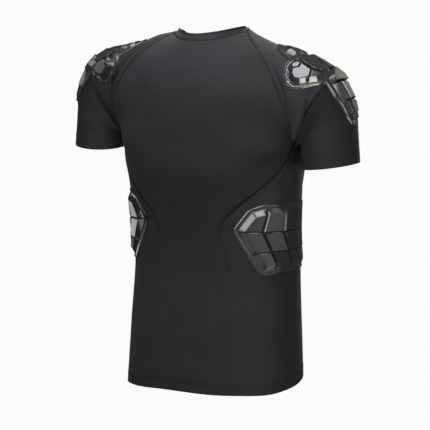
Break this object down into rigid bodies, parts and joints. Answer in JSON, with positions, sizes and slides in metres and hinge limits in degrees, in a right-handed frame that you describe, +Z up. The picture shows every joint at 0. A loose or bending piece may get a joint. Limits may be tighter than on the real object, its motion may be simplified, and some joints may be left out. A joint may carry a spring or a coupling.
{
  "type": "padded compression shirt",
  "caption": "Short-sleeved knit compression shirt, hollow as when worn, with moulded block pads over the shoulders and round the ribs.",
  "frame": {"origin": "midway between the two points beside the neck where the shirt hangs on the wearer's shoulders", "axes": "+Z up along the wearer's body, +Y towards the back, +X towards the wearer's left"},
  "size_m": [0.6013, 0.2435, 0.6842],
  "materials": {
    "knit": "fine black stretch knit with a slight sheen",
    "moulded_pad": "glossy black moulded film over foam"
  },
  "bodies": {
    "root": {"back": "knit", "front": "knit", "side_left": "knit", "side_right": "knit", "shoulder_left": "knit", "shoulder_right": "knit", "sleeve_left": "knit", "sleeve_right": "knit", "collar": "knit", "shoulder_pad_left": "moulded_pad", "shoulder_pad_right": "moulded_pad", "rib_pad_left": "moulded_pad", "rib_pad_right": "moulded_pad"}
  },
  "joints": []
}
